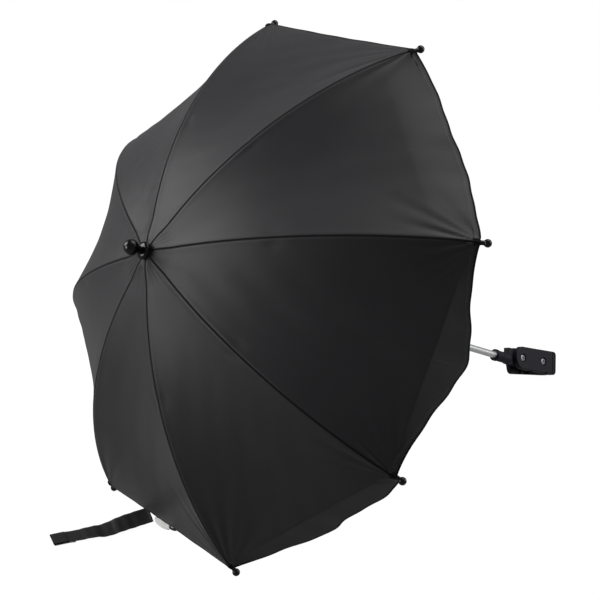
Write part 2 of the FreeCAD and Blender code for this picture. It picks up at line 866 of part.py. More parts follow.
def all_nodes():
    nodes = {
        "finial": laid(make_finial()),
        "crown": laid(make_crown()),
        "crown_wire": laid(wire_ring(0, wire_radius)),
        "shaft_tube": laid(make_shaft_tube()),
        "stop_pin": laid(make_stop_pin()),
        "catch_spring": laid(make_catch_spring()),
        "runner": laid(make_runner()),
        "runner_wire": laid(wire_ring(runner_pivot.z, wire_radius)),
        "socket_arm": laid(make_socket_arm()),
        "socket_pin": laid(make_socket_pin()),
        "front_jaw": laid(placed_clamp(make_front_jaw())),
        "rear_jaw": laid(placed_clamp(make_rear_jaw())),
        "front_pad": laid(placed_clamp(make_pad(-1))),
        "rear_pad": laid(placed_clamp(make_pad(1))),
        "pivot_bolt": laid(placed_clamp(make_bolt(0.0))),
        "clamp_bolt": laid(placed_clamp(make_bolt(-bolt_pitch))),
        "jaw_nuts": laid(placed_clamp(make_jaw_nuts())),
        "closing_strap": make_closing_strap(),
        "care_tag": make_care_tag(),
    }
    rib = make_rib()
    rib_tip = make_rib_tip()
    rivet = make_rivet()
    stretcher = make_stretcher()
    for index in range(rib_count):
        number = index + 1
        nodes[f"rib_{number}"] = laid(turned_to_rib(rib, index))
        nodes[f"rib_tip_{number}"] = laid(turned_to_rib(rib_tip, index))
        nodes[f"rib_rivet_{number}"] = laid(turned_to_rib(rivet, index))
        nodes[f"stretcher_{number}"] = laid(turned_to_rib(stretcher, index))
        nodes[f"canopy_panel_{number}"] = laid(make_canopy_panel(index))
    return nodes


def main():
    """Writes every node, centred over the origin, and gives the shift that centres them."""
    nodes = all_nodes()
    box = Part.makeCompound(list(nodes.values())).optimalBoundingBox(False, False)
    centring = Vector(-box.Center.x, -box.Center.y, 0)
    os.makedirs("parts", exist_ok=True)
    for name, shape in nodes.items():
        shape.translate(centring)
        shape.exportStep(f"parts/{name}.step")
    print("size", round(box.XLength), round(box.YLength), round(box.ZLength), "lowest", round(box.ZMin, 3))
    return nodes, centring


if __name__ == "__main__":
    main()
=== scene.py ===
# %% [markdown]
# # A pram parasol, dressed for a picture
# A pram parasol is a small umbrella with a clamp in place of a handle. Here it lies open on a floor,
# resting on two rib tips and on its clamp. The rigid pieces come ready-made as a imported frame, in metres.
# This lesson adds what the eye sees: the sewn cloth, the strap, the tag, and a finish for every surface.

import json
import math

import bpy
import numpy as np
from mathutils import Matrix


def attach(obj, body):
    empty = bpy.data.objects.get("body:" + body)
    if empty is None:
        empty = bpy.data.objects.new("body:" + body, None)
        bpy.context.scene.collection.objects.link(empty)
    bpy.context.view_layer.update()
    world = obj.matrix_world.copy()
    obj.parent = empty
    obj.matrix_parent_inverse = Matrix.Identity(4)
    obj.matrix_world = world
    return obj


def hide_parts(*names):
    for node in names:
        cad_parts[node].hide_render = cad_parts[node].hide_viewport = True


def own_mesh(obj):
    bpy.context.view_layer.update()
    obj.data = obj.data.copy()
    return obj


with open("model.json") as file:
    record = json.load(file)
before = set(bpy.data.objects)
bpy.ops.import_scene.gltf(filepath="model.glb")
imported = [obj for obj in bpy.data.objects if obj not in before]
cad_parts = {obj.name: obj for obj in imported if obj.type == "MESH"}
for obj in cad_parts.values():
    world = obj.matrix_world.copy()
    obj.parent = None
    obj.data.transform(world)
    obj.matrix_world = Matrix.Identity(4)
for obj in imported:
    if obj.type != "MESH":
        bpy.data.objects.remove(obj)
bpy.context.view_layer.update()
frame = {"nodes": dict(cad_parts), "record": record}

# %% [markdown]
# ## The shaft's own frame
# A parasol is easiest to think of standing up, with the ribs fanned out round an upright shaft. The frame
# is lying down, so one function lays points from the standing frame onto it. The eight rib hinges stand
# in a ring: its middle is the crown, and its plane is square to the shaft.

# %% From the standing frame to the floor
millimetre = 0.001
rib_count = 8
joints = {joint["name"]: joint for joint in frame["record"]["behaviour"]["joints"]}
fold_names = ["canopy_fold", *(f"rib_{number}_fold" for number in range(2, rib_count + 1))]
rib_pivots = np.array([joints[name]["pos_m"] for name in fold_names])


def unit(vectors):
    """Vectors divided by their own lengths, along the last axis."""
    return vectors / np.linalg.norm(vectors, axis=-1, keepdims=True)


crown_centre = rib_pivots.mean(axis=0)
shaft_up = unit(np.cross(rib_pivots[0] - crown_centre, rib_pivots[2] - crown_centre))
shaft_side = np.array([0.0, 1.0, 0.0])
shaft_out = np.cross(shaft_side, shaft_up)
shaft_axes = np.stack([shaft_out, shaft_side, shaft_up])
ceiling = np.array([0.0, 0.0, 1.0])


def laid(points):
    """Standing points in metres, any array of x, y, z, turned with the shaft and moved to the crown."""
    return np.asarray(points) @ shaft_axes + crown_centre


rib_step = 2 * math.pi / rib_count
half_gore = math.pi / rib_count
rib_azimuths = rib_step * (np.arange(rib_count) + 0.5)
print("crown at", crown_centre.round(4), "shaft points to", shaft_up.round(3))

# %% [markdown]
# ## The camera
# The picture is taken from a little above the floor, from the finial's side, with a long lens. A camera
# can be set by eye, but this one was solved from the rib tips, the finial and the shaft, and is written
# from the crown.

# %% Place the camera
image_width_px = 600
focal_px = 1278.3
sensor_width_mm = 36.0
camera_from_crown = np.array([-0.7385, -1.1505, 0.4541])
camera_forward = np.array([0.5978, 0.7197, -0.3531])
camera_right = np.array([0.7673, -0.6412, -0.0078])


def placing(right, up, back, place):
    """A placing matrix: three axes as its columns, and the place as the fourth."""
    whole = np.eye(4)
    whole[:3] = np.stack([right, up, back, place], axis=-1)
    return Matrix(whole.tolist())


def add_object(name, data):
    """A new object in the scene, at the origin."""
    made = bpy.data.objects.new(name, data)
    bpy.context.scene.collection.objects.link(made)
    return made


forward = unit(camera_forward)
right = unit(camera_right - forward * camera_right.dot(forward))
up = np.cross(right, forward)
camera_data = bpy.data.cameras.new("camera")
camera_data.sensor_width = sensor_width_mm
camera_data.lens = focal_px * sensor_width_mm / image_width_px
camera = add_object("camera", camera_data)
camera.matrix_world = placing(right, up, -forward, crown_centre + camera_from_crown)
bpy.context.scene.camera = camera
print("lens", round(camera_data.lens, 2), "mm, camera at", (crown_centre + camera_from_crown).round(3))

# %% [markdown]
# ## Colours and nodes
# Colours are written as the hex numbers a paint program shows. Blender's shaders want linear light, so
# one function undoes the screen's curve. A second one adds a shader node, sets it and links it.

# %% Colour and node helpers
# A colour Mix node keeps its colours behind its sockets for numbers and vectors
mix_first = 6
mix_second = 7
mix_result = 2


def linear(hex_colour):
    """An sRGB hex colour as linear light: a straight line for the darkest tones, a power above them."""
    channels = np.array([int(hex_colour[place:place + 2], 16) for place in (1, 3, 5)]) / 255
    low = channels / 12.92
    high = ((channels + 0.055) / 1.055) ** 2.4
    return (*np.where(channels <= 0.04045, low, high).tolist(), 1.0)


def add_node(tree, kind, sockets=None, **settings):
    """One shader node: settings are its properties, sockets map an input to a value or a linked output."""
    made = tree.nodes.new(kind)
    for name, value in settings.items():
        setattr(made, name, value)
    for name, value in (sockets or {}).items():
        if isinstance(value, bpy.types.NodeSocket):
            tree.links.new(value, made.inputs[name])
        else:
            made.inputs[name].default_value = value
    return made


def new_material(name):
    """An empty node material and its tree."""
    material = bpy.data.materials.new(name)
    material.use_nodes = True
    material.node_tree.nodes.clear()
    return material, material.node_tree


def finish_material(tree, surface):
    """Links a shader to the material's output."""
    add_node(tree, "ShaderNodeOutputMaterial", {"Surface": surface.outputs[0]})


print("white is", linear("#ffffff"))

# %% [markdown]
# ## The floor
# The studio is a white sweep. Strong lamps could bleach a sheet, but they would bleach the object too. So
# the floor is a flat grey surface that takes a soft shadow, and the camera sees some extra white on it, a
# little more far from the object. Reflections see only a share of that white.

# %% Build the floor
floor_half_size = 6.0
floor_near_white = 0.97
floor_near_reach = 0.7
floor_far_reach = 1.7
floor_reflected_share = 0.2
floor_edge = np.array([-1.0, 1.0]) * floor_half_size
floor_corners = [(x, y, 0.0) for y in floor_edge for x in floor_edge]
floor_mesh = bpy.data.meshes.new("floor")
floor_mesh.from_pydata(floor_corners, [], [(0, 1, 3, 2)])
floor = add_object("floor", floor_mesh)
floor_paint, tree = new_material("white_studio_floor")
floor_place = add_node(tree, "ShaderNodeTexCoord").outputs["Object"]
far_off = add_node(tree, "ShaderNodeVectorMath", {0: floor_place}, operation="LENGTH").outputs["Value"]
floor_white = {"Value": far_off, "To Min": floor_near_white, "To Max": 1.0}
floor_white.update({"From Min": floor_near_reach, "From Max": floor_far_reach})
floor_white = add_node(tree, "ShaderNodeMapRange", floor_white).outputs[0]
light_path = add_node(tree, "ShaderNodeLightPath")
reflected = {0: light_path.outputs["Is Glossy Ray"], 1: floor_reflected_share}
reflected = add_node(tree, "ShaderNodeMath", reflected, operation="MULTIPLY").outputs[0]
seen = {0: light_path.outputs["Is Camera Ray"], 1: reflected}
seen = add_node(tree, "ShaderNodeMath", seen, operation="MAXIMUM").outputs[0]
strength = add_node(tree, "ShaderNodeMath", {0: seen, 1: floor_white}, operation="MULTIPLY").outputs[0]
floor_glow = add_node(tree, "ShaderNodeEmission", {"Color": linear("#ffffff"), "Strength": strength})
floor_diffuse = add_node(tree, "ShaderNodeBsdfDiffuse", {"Color": linear("#5c5c5c")})
floor_both = {0: floor_diffuse.outputs[0], 1: floor_glow.outputs[0]}
finish_material(tree, add_node(tree, "ShaderNodeAddShader", floor_both))
floor_mesh.materials.append(floor_paint)
print("floor", 2 * floor_half_size, "metres wide")

# %% [markdown]
# ## The backdrop
# The world is white where the camera looks past the floor, a share of that white in reflections, and a
# dim grey as a light. A brighter world would flatten the folds that the softboxes show.

# %% Build the world
world_fill_strength = 0.08
world_reflected_share = 0.12
world = bpy.data.worlds.new("studio")
bpy.context.scene.world = world
world.use_nodes = True
tree = world.node_tree
tree.nodes.clear()
light_path = add_node(tree, "ShaderNodeLightPath")
seen = {0: light_path.outputs["Is Glossy Ray"], 1: world_reflected_share}
seen = add_node(tree, "ShaderNodeMath", seen, operation="MULTIPLY").outputs[0]
for ray in ("Is Camera Ray", "Is Transmission Ray"):
    seen = {0: seen, 1: light_path.outputs[ray]}
    seen = add_node(tree, "ShaderNodeMath", seen, operation="MAXIMUM").outputs[0]
world_grey = {"Color": linear("#e8ecf2"), "Strength": world_fill_strength}
world_fill = add_node(tree, "ShaderNodeBackground", world_grey)
world_white = add_node(tree, "ShaderNodeBackground", {"Color": linear("#ffffff"), "Strength": 1.0})
world_sides = {0: seen, 1: world_fill.outputs[0], 2: world_white.outputs[0]}
world_mix = add_node(tree, "ShaderNodeMixShader", world_sides)
add_node(tree, "ShaderNodeOutputWorld", {"Surface": world_mix.outputs[0]})
print("world fill", world_fill_strength)

# %% [markdown]
# ## The light
# Black cloth shows its shape only where it catches light at a flat angle. Four softboxes give that: a key
# on the left, a fill on the right, a broad one above, and a low one in front on the left.

# %% Hang the softboxes
# Each has its place from the common target in metres, its size in metres and its power in watts
softboxes = {
    "key_softbox": ((-0.95, 1.15, 0.92), 1.1, 19.0),
    "fill_softbox": ((1.5, -1.2, 0.5), 1.2, 12.0),
    "top_softbox": ((0.72, -0.16, 1.29), 1.4, 11.0),
    "side_softbox": ((-1.40, 0.40, 0.20), 0.7, 7.5),
}
target_from_crown = np.array([0.1, 0.0, -0.05])
lamp_target = crown_centre + target_from_crown
for name, (from_target, size, power) in softboxes.items():
    lamp = bpy.data.lights.new(name, "AREA")
    lamp.size = size
    lamp.energy = power
    back = unit(np.array(from_target))
    across = unit(np.cross(ceiling, back))
    lamp_axes = (across, np.cross(back, across), back)
    add_object(name, lamp).matrix_world = placing(*lamp_axes, lamp_target + from_target)
bpy.context.scene.view_settings.view_transform = "Standard"
print("softboxes", len(softboxes))

# %% [markdown]
# ## Woven cloth
# The canopy is a closely woven black polyester, the strap a ribbon of the same cloth and the tag a white
# satin. Their threads are about 0.3 mm apart, too fine for this picture, so they are drawn two to three
# times as coarse. A picture of cloth would repeat and blur, so the weave is worked out from waves. Seams
# and stitches read distances that the meshes carry. A sewn seam line is darker and duller, and the band
# along a hem or edge is darker too: painted shade of the turned edge.

# %% Cloth shader
# The Wave texture makes this many waves in one unit at a scale of 1
wave_turns_per_unit = 20 / (2 * math.pi)
dye_patch_mm = 60.0
dye_detail = 5.0
stitch_pitch_mm = 3.0
stitch_share = 0.65
stitch_half_width_mm = 0.4
weave_depth_mm = 0.12
weave_bump = 0.5
seam_line_mm = (0.8, 2.0)
# How far the seam lines and the painted hem shade are drawn towards their dark colour
seam_and_hem_shade_strength = 0.95
cloth_roughness = 0.45
sewn_roughness = 1.0


def woven(name, colours, seam_and_hem_shade_colour, thread_colour, weave_mm, stitch_line_mm, hem_shade_mm, settings):
    """A woven cloth: threads both ways, uneven dye, dark seam lines, painted shade along hems and edges, and
    dashes of thread at the hem.
    """
    material, tree = new_material(name)
    cloth_map = add_node(tree, "ShaderNodeUVMap", uv_map="cloth_metres").outputs[0]
    weave_scale = 1 / (weave_mm * millimetre * wave_turns_per_unit)
    threads = []
    for way in ("X", "Y"):
        waves = {"Vector": cloth_map, "Scale": weave_scale}
        threads.append(add_node(tree, "ShaderNodeTexWave", waves, bands_direction=way).outputs["Fac"])
    weave = add_node(tree, "ShaderNodeMath", {0: threads[0], 1: threads[1]}, operation="MULTIPLY").outputs[0]
    dye = {"Vector": cloth_map, "Scale": 1 / (dye_patch_mm * millimetre), "Detail": dye_detail}
    dye = add_node(tree, "ShaderNodeTexNoise", dye).outputs["Fac"]
    seam = add_node(tree, "ShaderNodeAttribute", attribute_name="seam_mm").outputs["Fac"]
    hem = add_node(tree, "ShaderNodeAttribute", attribute_name="hem_mm").outputs["Fac"]
    lines = []
    # Seam lines are sewn darker; the band along the hem or edge is painted shade of the turned edge
    for distance, (inner, outer) in ((seam, seam_line_mm), (hem, hem_shade_mm)):
        fade = {"Value": distance, "From Min": inner, "From Max": outer}
        fade.update({"To Min": seam_and_hem_shade_strength, "To Max": 0.0})
        lines.append(add_node(tree, "ShaderNodeMapRange", fade).outputs[0])
    seam_line_and_hem_shade = add_node(tree, "ShaderNodeMath", {0: lines[0], 1: lines[1]}, operation="MAXIMUM").outputs[0]
    along = add_node(tree, "ShaderNodeSeparateXYZ", {0: cloth_map}).outputs["Y"]
    phase = {0: along, 1: stitch_pitch_mm * millimetre}
    phase = add_node(tree, "ShaderNodeMath", phase, operation="DIVIDE").outputs[0]
    phase = add_node(tree, "ShaderNodeMath", {0: phase}, operation="FRACT").outputs[0]
    dash = add_node(tree, "ShaderNodeMath", {0: phase, 1: stitch_share}, operation="LESS_THAN").outputs[0]
    band = {0: hem, 1: stitch_line_mm, 2: stitch_half_width_mm}
    band = add_node(tree, "ShaderNodeMath", band, operation="COMPARE").outputs[0]
    stitches = add_node(tree, "ShaderNodeMath", {0: dash, 1: band}, operation="MULTIPLY").outputs[0]
    colour = linear(colours[0])
    for share, tone in ((dye, colours[1]), (seam_line_and_hem_shade, seam_and_hem_shade_colour), (stitches, thread_colour)):
        mixed = {0: share, mix_first: colour, mix_second: linear(tone)}
        colour = add_node(tree, "ShaderNodeMix", mixed, data_type="RGBA").outputs[mix_result]
    relief = add_node(tree, "ShaderNodeMath", {0: weave, 1: stitches}, operation="ADD").outputs[0]
    bump = {"Height": relief, "Strength": weave_bump, "Distance": weave_depth_mm * millimetre}
    bump = add_node(tree, "ShaderNodeBump", bump).outputs[0]
    dull = {0: seam_line_and_hem_shade, 1: sewn_roughness - cloth_roughness, 2: cloth_roughness}
    dull = add_node(tree, "ShaderNodeMath", dull, operation="MULTIPLY_ADD").outputs[0]
    sockets = {"Base Color": colour, "Normal": bump, "Roughness": dull, **settings}
    finish_material(tree, add_node(tree, "ShaderNodeBsdfPrincipled", sockets))
    return material


print("stitches per metre", round(1 / (stitch_pitch_mm * millimetre)))

# %% [markdown]
# ## Three cloths
# The cloths differ in colour, in the pitch of their threads and in where their edges are stitched. Each
# has a breath of sheen, the pale bloom that loose fibres give.

# %% Cloth materials
matt_weave = {"Specular IOR Level": 0.28, "Sheen Weight": 0.08, "Sheen Roughness": 0.4}
satin_weave = {"Specular IOR Level": 0.28, "Sheen Weight": 0.05}
# Matt black with a breath of grey: what the eye takes for dyed polyester in daylight; its darker hem band is
# painted shade
canopy_weave = woven(
    "woven_black_polyester", ("#2c2c2e", "#363638"), "#0c0c0d", "#4c4c4f",
    weave_mm=0.9, stitch_line_mm=6.0, hem_shade_mm=(1.5, 2.8), settings=matt_weave,
)
# Deeper black and smoother: a doubled ribbon, pressed flat and stitched along both edges, with its edges and
# ends painted darker as shade
strap_weave = woven(
    "folded_black_ribbon", ("#1b1b1c", "#252527"), "#0c0c0d", "#414144",
    weave_mm=0.7, stitch_line_mm=2.0, hem_shade_mm=(0.6, 2.2), settings=satin_weave,
)
# A soft white with a slight shine: label satin, left blank, with a grey edge that is painted shade
tag_satin = woven(
    "white_label_satin", ("#dcdcd8", "#e8e8e4"), "#aeaeaa", "#b8b8b4",
    weave_mm=0.6, stitch_line_mm=1.5, hem_shade_mm=(0.1, 0.5), settings=satin_weave,
)
print("cloth materials", canopy_weave.name, strap_weave.name, tag_satin.name)

# %% [markdown]
# ## Plastics, metals and rubber
# The rigid pieces are moulded plastics, plated and blackened steel, and rubber. One flat colour each
# would do from afar, but nothing made is one flat colour. So each has a fine noise in its colour and its
# relief, which is stretched lengthways on the drawn tube.

# %% Rigid materials
grain_detail = 3.0
grain_bump = 0.6
even = (1.0, 1.0, 1.0)
along_shaft = (1.0, 1.0, 30.0)
shaft_lean = math.atan2(shaft_up[0], shaft_up[2])


def grained(name, dark, light, grain_mm, depth_mm, stretch, settings):
    """A finish whose colour and relief follow one noise of a given grain, which may be stretched."""
    material, tree = new_material(name)
    place = add_node(tree, "ShaderNodeTexCoord").outputs["Object"]
    turned = {"Vector": place, "Rotation": (0.0, -shaft_lean, 0.0), "Scale": stretch}
    turned = add_node(tree, "ShaderNodeMapping", turned, vector_type="TEXTURE").outputs[0]
    grain = {"Vector": turned, "Scale": 1 / (grain_mm * millimetre), "Detail": grain_detail}
    grain = add_node(tree, "ShaderNodeTexNoise", grain).outputs["Fac"]
    colour = {0: grain, mix_first: linear(dark), mix_second: linear(light)}
    colour = add_node(tree, "ShaderNodeMix", colour, data_type="RGBA").outputs[mix_result]
    bump = {"Height": grain, "Strength": grain_bump, "Distance": depth_mm * millimetre}
    bump = add_node(tree, "ShaderNodeBump", bump).outputs[0]
    sockets = {"Base Color": colour, "Normal": bump, **settings}
    finish_material(tree, add_node(tree, "ShaderNodeBsdfPrincipled", sockets))
    return material


def metal(roughness):
    """The shader settings of bare metal, with a given roughness."""
    return {"Metallic": 1.0, "Roughness": roughness}


# Polished mould: a deep black that mirrors the softboxes in small hard spots
gloss_look = {"Roughness": 0.1, "Specular IOR Level": 0.38}
gloss_abs = grained("gloss_black_abs", "#070708", "#0c0c0e", 6.0, 0.01, even, gloss_look)
# Plain mould: a black with a wide, weak shine
frame_nylon = grained("moulded_black_nylon", "#1a1a1c", "#222224", 0.8, 0.03, even, {"Roughness": 0.45})
# Spark-eroded mould and glass fibre: a dull grey-black with a fine grain
clamp_look = {"Roughness": 0.48, "Specular IOR Level": 0.2}
clamp_nylon = grained("grained_black_nylon", "#1e1c22", "#2a2830", 1.2, 0.08, even, clamp_look)
# Plated and drawn: a pale silver with soft streaks along the tube
shaft_plate = grained("plated_steel_tube", "#eceded", "#f8f9fa", 1.0, 0.004, along_shaft, metal(0.4))
# Zinc on rolled strip: a blotchy mid grey
rib_zinc = grained("zinc_plated_strip", "#8f9194", "#b4b6b9", 3.0, 0.01, even, metal(0.38))
# Bare drawn wire: an even grey shine
wire_steel = grained("plain_steel_wire", "#8a8b8d", "#a5a6a8", 1.0, 0.005, even, metal(0.35))
# Bright zinc on a headed bolt: the clearest metal here, still not a mirror
bolt_zinc = grained("bright_zinc_bolt", "#a9aaad", "#c6c7ca", 1.0, 0.01, even, metal(0.26))
# Oiled black oxide: a pin that hardly shows in the black socket
pin_black = grained("black_oxide_steel", "#1b1b1d", "#252528", 1.0, 0.005, even, metal(0.4))
# Moulded rubber: the dullest black of all
pad_rubber = grained("moulded_rubber", "#171717", "#1f1f1f", 0.6, 0.05, even, {"Roughness": 0.75})
print("dullest finish", pad_rubber.name)

# %% [markdown]
# ## A finish for every node
# The frame's own pieces keep their shapes, which are exact. Each only changes its material.

# %% Give every shown node its finish
rib_numbers = range(1, rib_count + 1)
finish_nodes = (
    (gloss_abs, ["finial", *(f"rib_tip_{number}" for number in rib_numbers)]),
    (frame_nylon, ["crown", "runner"]),
    (shaft_plate, ["shaft_tube"]),
    (wire_steel, ["crown_wire", "stop_pin", "catch_spring", "runner_wire"]),
    (rib_zinc, [f"{name}_{number}" for name in ("rib", "stretcher") for number in rib_numbers]),
    (clamp_nylon, ["socket_arm", "front_jaw", "rear_jaw"]),
    (pin_black, ["socket_pin"]),
    (pad_rubber, ["front_pad", "rear_pad"]),
    (bolt_zinc, ["pivot_bolt", "clamp_bolt", "jaw_nuts"]),
    (bolt_zinc, [f"rib_rivet_{number}" for number in rib_numbers]),
)
for material, names in finish_nodes:
    for name in names:
        shown = frame["nodes"][name]
        shown.data.materials.clear()
        shown.data.materials.append(material)
    print(material.name, "on", len(names), "nodes")

# %% [markdown]
# ## The canopy's line over a rib
# The cloth leaves the crown flat, comes down onto the rib, and follows the rib's even bend to the hem.
# Rows of the mesh follow that line. The first rows lie on the crown's plate, the next bridge the step to
# the rib, and the rest are arcs of one circle.

# %% Line of the rib
rib_bend_radius = 441.0 * millimetre
rib_root_slope = math.radians(1.8)
rib_pivot_radius = 10.0 * millimetre
rib_half_height = 1.6 * millimetre
rib_half_width = 1.6 * millimetre
cloth_seat = 0.3 * millimetre
cloth_skin = 0.6 * millimetre
cloth_end = 374.0 * millimetre


def rib_line(arc, lift):
    """Radius and height of a point above the rib: a circle of the bend's radius plus the lift."""
    slope = rib_root_slope + arc / rib_bend_radius
    reach = rib_bend_radius + lift
    radius = rib_pivot_radius - rib_bend_radius * math.sin(rib_root_slope) + reach * np.sin(slope)
    height = reach * np.cos(slope) - rib_bend_radius * math.cos(rib_root_slope)
    return radius, height


def cloth_lift(arc):
    """How far the cloth's outer face stands off the rib: seat, skin, and the rise over its corners."""
    slope = rib_root_slope + arc / rib_bend_radius
    over_corners = rib_half_width * math.tan(half_gore) * np.sin(slope)
    return rib_half_height + cloth_seat + cloth_skin + over_corners


def eased(place):
    """A smooth step from 0 to 1, level at both ends: three squares less two cubes."""
    clipped = np.clip(place, 0, 1)
    return clipped ** 2 * (3 - 2 * clipped)


print("cloth over the rib's end", np.round(cloth_lift(cloth_end), 5))

# %% [markdown]
# ## Rows of the canopy
# The bridge from the crown's plate to the rib is a smooth step that ends at the rib's own slope. Rows
# crowd towards the hem, where the cloth bends most.

# %% Rows along a rib
crown_plate_height = 5.0 * millimetre
crown_plate_radius = 12.6 * millimetre
cloth_root_radius = 7.0 * millimetre
bridge_end_arc = 34.0 * millimetre
flap_start_arc = 366.0 * millimetre
bridge_rows = 14
rib_rows = 84
flap_rows = 22
flap_crowding = 1.25
join_radius, join_height = rib_line(bridge_end_arc, cloth_lift(bridge_end_arc))
join_slope = -math.tan(rib_root_slope + bridge_end_arc / rib_bend_radius)
bridge_radius = np.linspace(cloth_root_radius, join_radius, bridge_rows, endpoint=False)
bridge_top = crown_plate_height + cloth_seat + cloth_skin
bridge_span = join_radius - crown_plate_radius
bridge_place = np.clip((bridge_radius - crown_plate_radius) / bridge_span, 0, 1)
lean_in = bridge_place ** 2 * (bridge_place - 1) * bridge_span * join_slope
bridge_height = bridge_top + (join_height - bridge_top) * eased(bridge_place) + lean_in
rib_row_shares = 1 - (1 - np.linspace(0, 1, rib_rows, endpoint=False)) ** flap_crowding
stretched_arcs = bridge_end_arc + (flap_start_arc - bridge_end_arc) * rib_row_shares
rib_arcs = np.concatenate([stretched_arcs, np.linspace(flap_start_arc, cloth_end, flap_rows)])
rib_radius, rib_heights = rib_line(rib_arcs, cloth_lift(rib_arcs))
row_arc = np.concatenate([np.linspace(0, bridge_end_arc, bridge_rows, endpoint=False), rib_arcs])
row_radius = np.concatenate([bridge_radius, rib_radius])
row_height = np.concatenate([bridge_height, rib_heights])
row_slope = rib_root_slope + row_arc / rib_bend_radius
print("rows", len(row_arc), "hem radius", row_radius[-1].round(4))

# %% [markdown]
# ## Folds and ripples
# Each rib tip pulls a fan of short folds into the cloth, and slow faint ripples run all over it. A cloth
# simulation would give both, but not where the picture has them. So a fold is a dip in the angle round
# the tip, and the ripples are a few plane waves. Chance comes from two seeded lists, the same each run.

# %% Fold and ripple shapes
fold_angles = (0.22, 1.15)
fold_angle_chance = 0.07
fold_depth_shares = np.array([1.0, 0.75, 0.6, 0.45])
fold_depth_chance = (0.7, 1.2)
fold_reach_chance = (0.7, 1.25)
fold_narrowest = 0.07
fold_widening = 0.05
fold_depth = 3.2 * millimetre
fold_reach = 62.0 * millimetre
fold_start = 9.0 * millimetre
ripple_depth = 0.35 * millimetre
ripple_lengths = (38.0 * millimetre, 55.0 * millimetre, 90.0 * millimetre)
ripple_way_limit = 0.9
fold_seed = 20
ripple_seed = 7
chance = np.random.default_rng(fold_seed)
ripple_chance = np.random.default_rng(ripple_seed)


def fold_picks():
    """Angle, depth and reach of each fold at one tip, spread over the corner with a little chance."""
    count = len(fold_depth_shares)
    angles = np.linspace(*fold_angles, count) + chance.uniform(-fold_angle_chance, fold_angle_chance, count)
    depths = fold_depth_shares * chance.uniform(*fold_depth_chance, count)
    reaches = chance.uniform(*fold_reach_chance, count)
    return zip(angles, depths, reaches)


def tip_folds(from_tip, from_rib):
    """Valleys that fan out of a rib tip: each is a dip in the angle round the tip, fading with distance."""
    distance = np.hypot(from_tip, from_rib)
    angle = np.arctan2(from_rib, from_tip)
    fade = distance / (distance + fold_start)
    total = np.zeros_like(distance)
    for turn, depth, reach in fold_picks():
        dip = np.exp(-((angle - turn) / (fold_narrowest + fold_widening * turn)) ** 2)
        total -= fold_depth * depth * dip * fade * np.exp(-(distance / (fold_reach * reach)) ** 2)
    return total


def cloth_ripples(along, across):
    """Slow unevenness of the cloth: a sum of plane waves, each with its own length, way and start."""
    total = np.zeros_like(along)
    for length in ripple_lengths:
        way = ripple_chance.uniform(-ripple_way_limit, ripple_way_limit)
        start = ripple_chance.uniform(0, 2 * math.pi)
        place = along * math.sin(way) + across * math.cos(way)
        total += np.sin(2 * math.pi * place / length + start)
    return ripple_depth * total / len(ripple_lengths)


print("folds at each side of a tip", len(fold_depth_shares))

# %% [markdown]
# ## The hem's flaps
# At the hem there is slack: beyond the straight line between two tips a flap hangs, more on the side
# gores and the lower ones than above, and softer on the two with short flaps. Values come in rows of
# eight, one for each gore. A gore without a flap is drawn in a little instead.

# %% Hem values and shapes
gore_columns = 81
column_turn = np.linspace(0, math.pi, (gore_columns + 1) // 2)
half_spacing = (1 - np.cos(column_turn)) / 4
column_share = np.concatenate([half_spacing, 1 - half_spacing[-2::-1]])
share = column_share[None, :]
hem_drops_mm = (20.0, 42.0, 38.0, 0.0, 38.0, 42.0, 20.0, 0.0)
hem_start_powers = (0.6, 1.7, 0.35, 1.0, 1.2, 2.2, 0.6, 1.0)
hem_end_powers = (0.6, 2.2, 1.2, 1.0, 0.35, 1.7, 0.6, 1.0)
flap_starts_mm = (330.0, 366.0, 366.0, 366.0, 366.0, 366.0, 330.0, 366.0)
flap_powers = (1.6, 1.15, 1.15, 1.15, 1.15, 1.15, 1.6, 1.15)
hem_draw_in = 3.0 * millimetre
hem_draw_start = 0.5
hem_wave_share = 0.12
hem_wave_turns = (2, 3)
edge_wave_share = 0.04
edge_wave_turns = (6, 8)


def flap_drop(index, arc, across_bulge):
    """How far a flap hangs: the gore's drop, by the slack towards the hem, by a bulge with a few waves."""
    turns = chance.uniform(*hem_wave_turns) * share + chance.uniform()
    waves = 1 + hem_wave_share * np.sin(2 * math.pi * turns)
    edge_turns = ripple_chance.uniform(*edge_wave_turns) * share + ripple_chance.uniform()
    waves = waves + edge_wave_share * np.sin(2 * math.pi * edge_turns)
    power = hem_start_powers[index] + (hem_end_powers[index] - hem_start_powers[index]) * share
    start = flap_starts_mm[index] * millimetre
    slack = np.clip((arc - start) / (cloth_end - start), 0, 1) ** flap_powers[index]
    return hem_drops_mm[index] * millimetre * slack * across_bulge ** power * waves


def hem_draw(index, arc, across_bulge):
    """How far a gore without a flap is drawn in: a square that grows over the outer half."""
    depth = 0 if hem_drops_mm[index] else hem_draw_in
    place = (arc / cloth_end - hem_draw_start) / (1 - hem_draw_start)
    return depth * across_bulge * np.clip(place, 0, 1) ** 2


print("flaps", hem_drops_mm, "mm")

# %% [markdown]
# ## Seams, dents and pleats
# Each seam is a sewn groove between two soft shoulders. The stretchers' joints press small dents from
# inside, and where the cloth bunches at the crown there are a few short pleats, more on the side towards
# the floor.

